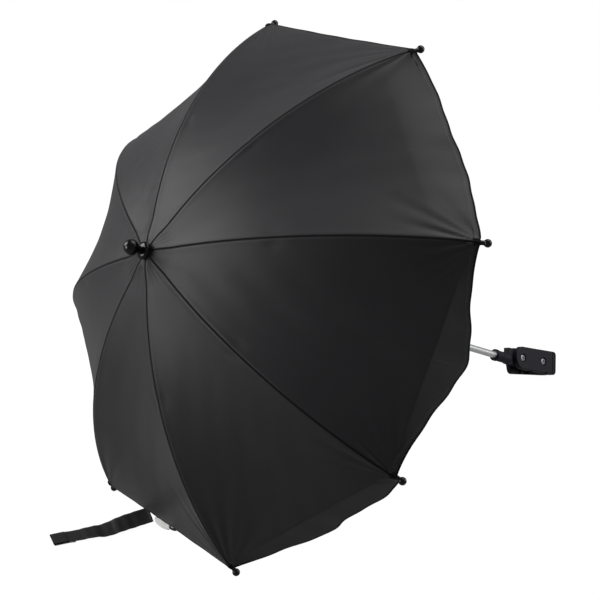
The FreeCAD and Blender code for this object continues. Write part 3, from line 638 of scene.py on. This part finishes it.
# %% Small shapes beside the seams
seam_shoulder = 0.3 * millimetre
seam_shoulder_width = 3.2 * millimetre
seam_fade_width = 12 * seam_shoulder_width
seam_groove = 0.5 * millimetre
seam_groove_width = 0.9 * millimetre
rib_dead_zone = 3.0 * millimetre
joint_arc = 160.0 * millimetre
joint_dent = 0.6 * millimetre
joint_dent_size = 9.0 * millimetre
joint_dent_offset = 0.9
joint_dent_squeeze = 2
crown_pleats = 5
crown_pleat_depth = 0.8 * millimetre
crown_pleat_shares = (0.2, 0.3, 0.8, 1.0, 0.9, 0.3, 0.2, 0.3)
crown_pleat_radii = (13.0 * millimetre, 20.0 * millimetre, 50.0 * millimetre)
pleat_start_share = 0.5


def seam_relief(from_rib, chord):
    """Two shoulders and a groove beside each rib: bells in the distance from it, faded at the crown."""
    fade_in = np.clip(chord / seam_fade_width, 0, 1)
    shoulder = seam_shoulder * np.exp(-(from_rib / seam_shoulder_width - 1) ** 2)
    groove = seam_groove * np.exp(-(from_rib / seam_groove_width) ** 2)
    return fade_in * shoulder - fade_in * groove


def joint_dents(from_rib, arc):
    """A shallow bell over each stretcher's joint, a little beside the rib."""
    along = (arc - joint_arc) / joint_dent_size
    aside = from_rib / joint_dent_size - joint_dent_offset
    return joint_dent * np.exp(-along ** 2 - aside ** 2 * joint_dent_squeeze)


def crown_pleat_dips(index, from_rib, radius):
    """Squared sines across the gore, growing and fading in a band round the crown, off the ribs."""
    fade = np.interp(radius, crown_pleat_radii, (0.0, crown_pleat_shares[index], 0.0))
    off_rib = np.clip(from_rib / rib_dead_zone - pleat_start_share, 0, 1)
    return crown_pleat_depth * fade * off_rib * np.sin(math.pi * crown_pleats * share) ** 2


print("seam groove", seam_groove / millimetre, "mm deep")

# %% [markdown]
# ## One gore
# A gore is the cloth between two ribs. It is made of straight lines from rib to rib, drawn in at the
# middle by the pull along its length, which makes a saddle. The small shapes above are added along the
# way in which the cloth faces, and the flaps hang straight down the shaft.

# %% Gore surface
saddle_depth = 10.0 * millimetre
saddle_outward_power = 1.8


def by_row(values):
    """One value per row of a gore, repeated over its columns."""
    return np.repeat(values[:, None], gore_columns, axis=1)


def rib_to_rib(values, index):
    """Row values as x and y on straight lines from one rib to the next."""
    left_turn = rib_azimuths[index]
    right_turn = left_turn + rib_step
    x = values * ((1 - share) * math.cos(left_turn) + share * math.cos(right_turn))
    y = values * ((1 - share) * math.sin(left_turn) + share * math.sin(right_turn))
    return x, y


def gore_surface(index):
    """Points of one gore, rows from crown to hem, columns from rib to rib, in the standing frame."""
    arc = by_row(row_arc)
    radius = by_row(row_radius)
    slope = by_row(row_slope)
    chord = 2 * radius * math.sin(half_gore)
    from_left = share * chord
    from_right = (1 - share) * chord
    from_rib = np.minimum(from_left, from_right)
    free_width = np.clip(chord - 2 * rib_dead_zone, millimetre, None)
    free_share = np.clip(from_left - rib_dead_zone, 0, None) / free_width
    across_bulge = np.sin(math.pi * np.clip(free_share, 0, 1))
    drop = flap_drop(index, arc, across_bulge)
    points = np.stack([*rib_to_rib(radius, index), by_row(row_height) - drop], axis=-1)
    ahead = unit(np.gradient(points, axis=0))
    points = points - ahead * hem_draw(index, arc, across_bulge)[..., None]
    lift = -saddle_depth * across_bulge * np.sin(math.pi * (arc / cloth_end) ** saddle_outward_power)
    lift = lift + tip_folds(cloth_end - arc, from_left)
    lift = lift + tip_folds(cloth_end - arc, from_right)
    lift = lift + seam_relief(from_rib, chord) - joint_dents(from_rib, arc)
    lift = lift + across_bulge * cloth_ripples(arc, from_left)
    lift = lift - crown_pleat_dips(index, from_rib, radius)
    lift_ways = unit(np.stack([*rib_to_rib(np.sin(slope), index), np.cos(slope)], axis=-1))
    return points + lift_ways * lift[..., None], lift_ways, from_rib / millimetre


gores = [gore_surface(index) for index in range(rib_count)]
print("gores", len(gores), "of", gores[0][0].shape[:2], "points")

# %% [markdown]
# ## From a grid to a mesh
# Every sewn piece here is a grid of points. One function makes its mesh, with the cloth's own metres as a
# map and the distances from seams and hems as attributes. A second gives it a thickness, and a third
# hangs it on a rib.

# %% Cloth mesh helpers
skin_inwards = -1.0
skin_both_ways = 0.0


def run_length(points, axis):
    """Lengths along a grid's lines from their start: running sums of the steps between points."""
    steps = np.linalg.norm(np.diff(points, axis=axis), axis=-1)
    start = np.zeros_like(np.take(steps, [0], axis=axis))
    return np.concatenate([start, np.cumsum(steps, axis=axis)], axis=axis)


def cell_faces(corner):
    """Four-cornered faces from a grid of point numbers, one for each cell."""
    cells = [corner[:-1, :-1], corner[1:, :-1], corner[1:, 1:], corner[:-1, 1:]]
    return np.stack(cells, axis=-1).reshape(-1, 4)


def point_numbers(points):
    """The numbers of a grid's points, as a grid."""
    return np.arange(points.shape[0] * points.shape[1]).reshape(points.shape[:2])


def cloth_object(name, points, faces, uv, facts, material, flat_ends=0):
    """A smooth mesh from points and faces, with metres as its map, a value per point, and flat ends."""
    mesh = bpy.data.meshes.new(name)
    mesh.from_pydata(points.reshape(-1, 3).tolist(), [], faces)
    layer = mesh.uv_layers.new(name="cloth_metres")
    layer.data.foreach_set("uv", uv.reshape(-1, 2)[np.concatenate(faces)].reshape(-1).astype(np.float32))
    for fact, values in facts.items():
        attribute = mesh.attributes.new(fact, "FLOAT", "POINT")
        attribute.data.foreach_set("value", values.reshape(-1).astype(np.float32))
    mesh.polygons.foreach_set("use_smooth", np.arange(len(faces)) < len(faces) - flat_ends)
    mesh.materials.append(material)
    return add_object(name, mesh)


def give_thickness(piece, thickness, offset):
    """A Solidify modifier: the cloth's own thickness, to one side of its grid or to both."""
    skin = piece.modifiers.new("cloth_thickness", "SOLIDIFY")
    skin.thickness = thickness
    skin.offset = offset
    skin.use_even_offset = False


def hold_to_rib(piece, index):
    """Rides a rib, with a mesh of its own, and turns with the rib when the canopy folds."""
    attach(piece, f"rib_{index + 1}")
    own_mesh(piece)


# %% [markdown]
# ## Turning the hem and cutting panels
# The hem is turned under by eight millimetres, so the grid goes round a tight half circle and back along
# the inside. On the frame each rib carries the two half gores that are sewn together along it, so the cloth
# is cut down the middle of each gore, where nothing shows.

# %% Panels
hem_turn_radius = 0.45 * millimetre
hem_turn_width = 8.0 * millimetre
hem_turn_steps = 5
hem_back_steps = 5
middle_column = gore_columns // 2
cloth_gauge = 0.35 * millimetre
map_offset = 0.2


def turned_hem(points, lift_ways):
    """Extra rows past the hem: a half circle round the edge, then straight back under the cloth."""
    along = unit(points[-1] - points[-3])
    lift = lift_ways[-1]
    angles = np.linspace(0, math.pi, hem_turn_steps + 1)[1:, None, None]
    round_edge = points[-1] + hem_turn_radius * (np.sin(angles) * along - (1 - np.cos(angles)) * lift)
    back = np.linspace(0, hem_turn_width, hem_back_steps + 1)[1:, None, None]
    return np.concatenate([round_edge, round_edge[-1] - back * along])


def joined_halves(before, after):
    """The second half of one gore's columns, then the first half of the next one's."""
    return np.concatenate([before[:, middle_column:-1], after[:, :middle_column + 1]], axis=1)


def grid_area(points):
    """The sum of the cells' areas, each as half the cross product of its diagonals."""
    one = points[1:, 1:] - points[:-1, :-1]
    other = points[1:, :-1] - points[:-1, 1:]
    return 0.5 * np.linalg.norm(np.cross(one, other), axis=-1).sum()


for index in range(rib_count):
    halves = zip(gores[index - 1], gores[index])
    points, lift_ways, seam_mm = (joined_halves(before, after) for before, after in halves)
    hem_rows = turned_hem(points, lift_ways)
    whole = np.concatenate([points, hem_rows])
    along = run_length(whole, axis=0)
    across = run_length(whole, axis=1)
    across = across - across[:, [middle_column]] + map_offset
    facts = {
        "seam_mm": np.concatenate([seam_mm, np.repeat(seam_mm[-1:], len(hem_rows), axis=0)]),
        "hem_mm": np.abs(along[len(points) - 1] - along) / millimetre,
    }
    uv = np.stack([along, across], axis=-1)
    faces = cell_faces(point_numbers(whole)).tolist()
    panel = cloth_object(f"canopy_cloth_{index + 1}", laid(whole), faces, uv, facts, canopy_weave)
    give_thickness(panel, cloth_gauge, skin_inwards)
    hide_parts(f"canopy_panel_{index + 1}")
    hold_to_rib(panel, index)
    print(panel.name, "area", round(grid_area(whole), 4), "faces", len(faces))

# %% [markdown]
# ## Gathers at the rib tips
# Where two gores meet at a tip their hems are drawn together into a short stitched sleeve round the tip's
# stem. A torus from Blender's menu would be too even: this ring is long, tapered and pleated.

# %% Tip gathers
gather_middle_arc = 370.8 * millimetre
gather_half_length = 3.8 * millimetre
gather_radius = 3.4 * millimetre
gather_taper = 0.8 * millimetre
gather_thickness = 0.6 * millimetre
gather_pleats = 9
gather_pleat_depth = 0.28 * millimetre
gather_corners = (108, 24)
gather_map_size = (30.0 * millimetre, 12.0 * millimetre)
sewn_on = []


def tip_gather(index):
    """A tapered ring round the rib's line near its end: an oval section carried round it, with pleats."""
    turns = [np.linspace(0, 2 * math.pi, count, endpoint=False) for count in gather_corners]
    round_stem, round_section = np.meshgrid(*turns, indexing="ij")
    forwards = gather_half_length * np.sin(round_section)
    reach = gather_radius - gather_taper * np.sin(round_section) + gather_thickness * np.cos(round_section)
    outside = np.clip(np.cos(round_section), 0, 1)
    reach = reach + gather_pleat_depth * np.sin(gather_pleats * round_stem + index) * outside
    sideways = reach * np.cos(round_stem)
    outward = reach * np.sin(round_stem)
    radius, height = rib_line(gather_middle_arc, 0.0)
    slope = rib_root_slope + gather_middle_arc / rib_bend_radius
    in_plane = radius + outward * math.sin(slope) + forwards * math.cos(slope)
    height = height + outward * math.cos(slope) - forwards * math.sin(slope)
    turn = rib_azimuths[index]
    x = in_plane * math.cos(turn) - sideways * math.sin(turn)
    y = in_plane * math.sin(turn) + sideways * math.cos(turn)
    return np.stack([x, y, height], axis=-1)


gather_maps = [np.linspace(0, size, count) for size, count in zip(gather_map_size, gather_corners)]
gather_uv = np.stack(np.meshgrid(*gather_maps, indexing="ij"), axis=-1)
for index in range(rib_count):
    points = laid(tip_gather(index))
    closed_both_ways = np.pad(point_numbers(points), ((0, 1), (0, 1)), mode="wrap")
    faces = cell_faces(closed_both_ways).tolist()
    gather = cloth_object(f"tip_gather_{index + 1}", points, faces, gather_uv, {}, canopy_weave)
    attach(gather, f"rib_{index + 1}")
    sewn_on.append([gather])
print("tip gathers", len(sewn_on))

# %% [markdown]
# ## Ribbons
# The strap, its hook patch and the hem loop are ribbons. A plane with a thickness would have square edges,
# so a ribbon is a flattened ring carried along a line, with round edges and closed ends.

# %% Ribbon tools
ribbon_corners = 48
ribbon_edge_power = 0.25
ribbon_face_power = 0.6
no_seam_mm = 1000.0
turned_over = [0, 3, 2, 1]
floor_gore = rib_count // 2 - 1
hem_line = laid(gores[floor_gore][0][-1])


def hem_point(side):
    """A point of the floor gore's hem, at a distance from its middle towards the fourth rib."""
    order = np.argsort(hem_line[:, 1])
    return np.array([np.interp(side, hem_line[order, 1], hem_line[order, axis]) for axis in range(3)])


def signed_power(values, power):
    """A power of the size of each value, with the value's own sign."""
    return np.sign(values) * np.abs(values) ** power


def ribbon_object(name, centre, side, half_width, half_below, half_above, along, material):
    """A closed ribbon: squared-off ovals along a line, a reach below and above it, and two flat ends."""
    turn = np.linspace(0, 2 * math.pi, ribbon_corners, endpoint=False)[None, :]
    wide = half_width * signed_power(np.cos(turn), ribbon_edge_power)
    high = signed_power(np.sin(turn), ribbon_face_power)
    above = unit(np.cross(np.gradient(centre, axis=0), side))
    thick = np.where(high > 0, half_above[:, None], half_below[:, None]) * high
    rings = centre[:, None] + side[:, None] * wide[..., None] + above[:, None] * thick[..., None]
    edge, run = np.broadcast_arrays(half_width - np.abs(wide), along[:, None])
    from_end = np.minimum(run - along[0], along[-1] - run)
    facts = {
        "hem_mm": np.minimum(edge, from_end) / millimetre,
        "seam_mm": np.full(edge.shape, no_seam_mm),
    }
    corner = point_numbers(rings)
    outward = cell_faces(np.pad(corner, ((0, 0), (0, 1)), mode="wrap"))[:, turned_over]
    faces = outward.tolist() + [corner[0, ::-1].tolist(), corner[-1].tolist()]
    print(name, "lowest point", rings[..., 2].min().round(5))
    return cloth_object(name, rings, faces, np.stack([edge, run], axis=-1), facts, material, flat_ends=2)


print("hem over the floor, height", hem_point(0.0)[2].round(4))

# %% [markdown]
# ## The closing strap's line
# A ribbon of the canopy's cloth is sewn inside the hem and wraps the closed parasol. Here it falls from the
# hem to the floor and lies there in soft waves. A simulated ribbon would fall anywhere, so its line is
# drawn: the far edge stays up longer, and the near edge hangs lower.

# %% Strap line
strap_half_width = 12.5 * millimetre
strap_half_thickness = 0.6 * millimetre
strap_start_side = 38.0 * millimetre
strap_tuck = 2.0 * millimetre
strap_tuck_rise = 0.9
strap_reach = 122.0 * millimetre
strap_turn = math.radians(17.0)
strap_hold = 20.0 * millimetre
strap_fall = 88.0 * millimetre
strap_rest = 1.0 * millimetre
strap_end_lift = 0.8 * millimetre
strap_bow = 6.0 * millimetre
strap_near_share = 0.3
strap_wave = 2.4 * millimetre
strap_wave_start = 55.0 * millimetre
strap_wave_length = 44.0 * millimetre
strap_ripple = 0.22 * millimetre
strap_ripple_lengths = (13.0 * millimetre, 31.0 * millimetre)
strap_rings = 170
tab_length = 18.0 * millimetre
tab_lead = 2.4 * tab_length
strap_along = np.linspace(-strap_tuck, strap_reach, strap_rings)
strap_heading = np.array([-math.cos(strap_turn), math.sin(strap_turn), 0.0])
strap_side = np.array([-math.sin(strap_turn), -math.cos(strap_turn), 0.0])
strap_hem = hem_point(strap_start_side)
bow_place = np.clip(strap_along / (strap_reach - tab_length), 0, 1)
strap_line = strap_hem + strap_along[:, None] * strap_heading
strap_line = strap_line + strap_bow * np.sin(math.pi * bow_place)[:, None] * strap_side
fallen = 1 - eased((strap_along - strap_hold) / (strap_fall - strap_hold))
towards_tab = eased((strap_along - strap_reach + tab_lead) / tab_length)
lying_place = (strap_along - strap_wave_start) / strap_wave_length
waving = strap_wave * np.sin(math.pi * np.clip(lying_place, 0, 1)) ** 2
lying_height = strap_rest + waving + strap_end_lift * towards_tab
hem_height = strap_hem[2] - cloth_skin - strap_half_thickness
tucked = np.clip(-strap_along, 0, None) * strap_tuck_rise
far_height = lying_height + (hem_height - lying_height) * fallen + tucked
near_height = lying_height + (far_height - lying_height) * strap_near_share * fallen
rippling = sum(np.sin(2 * math.pi * strap_along / length) for length in strap_ripple_lengths)
rippling = strap_ripple * rippling * (1 - towards_tab) * eased(strap_along / strap_hold)
strap_line[:, 2] = (far_height + near_height) / 2 + rippling
print("strap ends at", strap_line[-1].round(4))

# %% [markdown]
# ## Strap and hook patch
# The ribbon rolls a little from side to side on its way. Its end is folded over into a stitched tab,
# which is a step in its thickness, and under the tab lies a pale patch of hook tape.

# %% Strap and hook patch
strap_roll_angle = math.radians(1.5)
strap_roll_length = 20.0 * millimetre
tab_thickness = 0.9 * millimetre
tab_step_length = 1.2 * millimetre
patch_length = 26.0 * millimetre
patch_end_gap = 0.8 * millimetre
patch_half_thickness = 0.45 * millimetre
patch_offset = 0.7 * millimetre
patch_rings = 24
strap_roll = strap_roll_angle * np.sin(strap_along / strap_roll_length) * (1 - towards_tab)
strap_lean = np.arcsin((far_height - near_height) / (2 * strap_half_width))
strap_roll = strap_roll * (1 - fallen) - strap_lean
strap_sides = strap_side * np.cos(strap_roll)[:, None] + ceiling * np.sin(strap_roll)[:, None]
tab_step = eased((strap_along - strap_reach + tab_length) / tab_step_length)
strap_below = np.full_like(strap_along, strap_half_thickness)
strap_above = strap_below + tab_thickness * tab_step
strap_shape = (strap_line, strap_sides, strap_half_width, strap_below, strap_above, strap_along)
strap = ribbon_object("strap_ribbon", *strap_shape, strap_weave)
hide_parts("closing_strap")
hold_to_rib(strap, floor_gore)

patch_along = np.linspace(strap_reach - patch_length, strap_reach - patch_end_gap, patch_rings)
patch_line = [np.interp(patch_along, strap_along, strap_line[:, axis]) for axis in range(3)]
patch_line = np.stack(patch_line, axis=-1) + patch_offset * strap_side
patch_line = patch_line - (strap_half_thickness + patch_half_thickness) * ceiling
patch_sides = np.repeat(strap_side[None, :], patch_rings, axis=0)
patch_half = np.full_like(patch_along, patch_half_thickness)
patch_shape = (patch_line, patch_sides, strap_half_width, patch_half, patch_half, patch_along)
patch = ribbon_object("hook_patch", *patch_shape, tag_satin)
hold_to_rib(patch, floor_gore)

# %% [markdown]
# ## The care tag
# A blank strip of white satin is folded in half and caught in the hem, with both ends hidden. A plane
# could be folded by a modifier, but not to this lens shape. So it is a grid: out, round the fold and
# back, longest in the middle.

# %% Tag
tag_half_width = 16.0 * millimetre
tag_middle = 7.0 * millimetre
tag_reach = 6.0 * millimetre
tag_tuck = 3.0 * millimetre
tag_fold_radius = 0.7 * millimetre
tag_gauge = 0.25 * millimetre
tag_end_share = 0.25
tag_mouth_share = 0.5
tag_hairpin_power = 0.9
tag_fall = math.radians(38.0)
tag_curl = 0.35
tag_twist = 0.12
tag_twist_turns = 3
tag_columns = 41
tag_rows = 36


def root_dome(place, power):
    """The square root of one less a power of the place, 1 in the middle and 0 at both ends."""
    return np.sqrt(np.clip(1 - place ** power, 0, 1))


def tag_grid():
    """The folded strip: a hairpin line in its section, longest in the middle and curled at the ends."""
    rows_and_columns = np.linspace(-1, 1, tag_rows), np.linspace(-1, 1, tag_columns)
    turn, along_hem = np.meshgrid(*rows_and_columns, indexing="ij")
    shape = tag_end_share + (1 - tag_end_share) * root_dome(along_hem, 2)
    out = (tag_reach * shape + tag_tuck) * root_dome(turn, 4) ** tag_hairpin_power - tag_tuck
    mouth = tag_mouth_share + (1 - tag_mouth_share) * root_dome(turn, 2)
    across_fold = tag_fold_radius * np.sin(math.pi / 2 * turn) * mouth
    fall = tag_fall + tag_curl * along_hem ** 2 + tag_twist * np.sin(tag_twist_turns * along_hem)
    middle = hem_point(tag_middle)
    x = middle[0] - out * np.cos(fall) - across_fold * np.sin(fall)
    y = middle[1] + tag_half_width * along_hem
    z = middle[2] - cloth_skin - 2 * tag_fold_radius - out * np.sin(fall) + across_fold * np.cos(fall)
    return np.stack([x, y, z], axis=-1)


tag_points = tag_grid()
tag_across = tag_points[..., 1]
tag_uv = np.stack([tag_across, run_length(tag_points, axis=0)], axis=-1)
tag_facts = {
    "hem_mm": (tag_half_width - np.abs(tag_across - tag_middle)) / millimetre,
    "seam_mm": np.full(tag_across.shape, no_seam_mm),
}
tag_faces = cell_faces(point_numbers(tag_points)).tolist()
tag = cloth_object("blank_care_tag", tag_points, tag_faces, tag_uv, tag_facts, tag_satin)
give_thickness(tag, tag_gauge, skin_both_ways)
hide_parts("care_tag")
hold_to_rib(tag, floor_gore)

# %% [markdown]
# ## The hem loop
# Beside the tag a short loop of narrow black tape is caught in the same hem, and hardly a millimetre of
# it shows. It is a ribbon again, carried round half an oval.

# %% Hem loop
loop_half_section = 1.1 * millimetre
loop_side = -12.0 * millimetre
loop_half_width = 6.0 * millimetre
loop_reach = 0.8 * millimetre
loop_tuck = 2.0 * millimetre
loop_rings = 40
loop_turn = np.linspace(0, math.pi, loop_rings)
loop_hem = hem_point(loop_side)
loop_out = loop_hem[0] + loop_tuck - (loop_reach + loop_tuck) * np.sin(loop_turn)
loop_aside = loop_hem[1] + loop_half_width * np.cos(loop_turn)
loop_height = np.full_like(loop_turn, loop_hem[2] - cloth_skin - loop_half_section)
loop_line = np.stack([loop_out, loop_aside, loop_height], axis=-1)
loop_sides = unit(np.cross(np.gradient(loop_line, axis=0), ceiling))
loop_half = np.full_like(loop_turn, loop_half_section)
loop_along = run_length(loop_line, axis=0)
loop_shape = (loop_line, loop_sides, loop_half_section, loop_half, loop_half, loop_along)
loop = ribbon_object("hem_loop", *loop_shape, strap_weave)
hold_to_rib(loop, floor_gore + 1)
sewn_on[floor_gore + 1].append(loop)
print("loop length", loop_along[-1].round(4))
